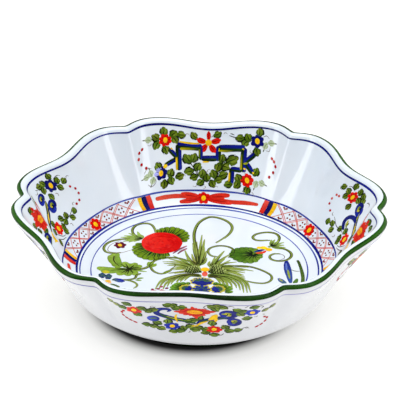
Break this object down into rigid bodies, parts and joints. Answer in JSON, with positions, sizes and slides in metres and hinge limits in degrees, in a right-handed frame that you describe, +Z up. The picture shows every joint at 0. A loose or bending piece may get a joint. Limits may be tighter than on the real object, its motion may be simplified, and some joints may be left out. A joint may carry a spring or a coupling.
{
  "type": "serving bowl",
  "caption": "Wide six-lobed serving bowl with a notched rolled lip, flared panelled wall, round well and ring foot, in glazed clay with painted bands.",
  "frame": {"origin": "middle of the foot, on the surface that the bowl stands on", "axes": "+Z up out of the bowl's mouth; +X towards one notch of the rim, so the widest span across the horns lies along X; a wide wall panel faces -Y"},
  "size_m": [0.309, 0.2958, 0.0891],
  "materials": {
    "clay": "bare fired earthenware, matt and slightly gritty",
    "glaze": "opaque cool white glaze, high gloss",
    "paint_border": "ceramic colours brushed on the glaze and fired glossy",
    "paint_green": "dark copper green brushed on the glaze and fired glossy"
  },
  "bodies": {
    "root": {"bowl_body": "clay", "foot_ring": "clay", "glaze_inside": "glaze", "glaze_outside": "glaze", "glaze_underside": "glaze", "border_band": "paint_border", "rim_band": "paint_green", "foot_band": "paint_green"}
  },
  "joints": []
}
